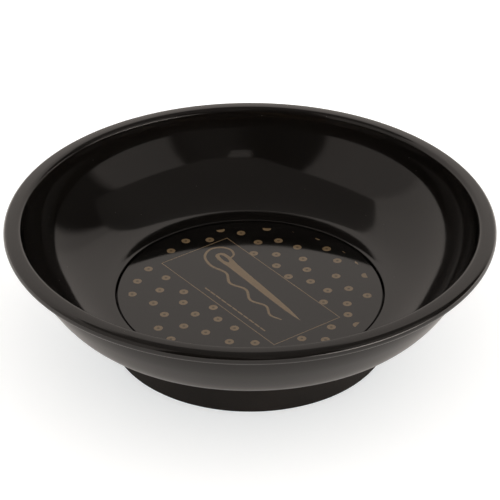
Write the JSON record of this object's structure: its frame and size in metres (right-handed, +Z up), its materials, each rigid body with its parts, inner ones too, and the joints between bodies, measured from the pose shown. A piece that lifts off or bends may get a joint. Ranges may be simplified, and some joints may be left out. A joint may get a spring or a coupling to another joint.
{
  "type": "magnetic parts tray",
  "caption": "Round shallow bowl with a rolled rim, a flat printed disc in its floor and a round magnetic foot, for holding small metal parts.",
  "frame": {"origin": "centre of the rubber pad's underside, on the surface the tray stands on", "axes": "+Z up through the middle of the bowl; the object is round, +Y is away from the viewer"},
  "size_m": [0.15, 0.15, 0.0422],
  "materials": {
    "bowl_enamel": "gloss black enamel on pressed steel",
    "disc_print": "gloss black with tan dots",
    "adhesive_film": "double-sided film",
    "zinc_steel": "zinc plated",
    "ferrite": "sintered, matte",
    "plate_steel": "bright mild steel",
    "foam": "closed-cell foam, matte",
    "foot_plastic": "fine moulded texture",
    "foot_rubber": "matte"
  },
  "bodies": {
    "root": {"bowl_shell": "bowl_enamel", "floor_disc": "disc_print", "disc_adhesive": "adhesive_film", "centre_screw": "zinc_steel", "screw_washer": "zinc_steel", "captive_nut": "zinc_steel", "magnet_ring": "ferrite", "backing_plate": "plate_steel", "magnet_cushion": "foam", "foot_housing": "foot_plastic", "foot_pad": "foot_rubber"}
  },
  "joints": []
}
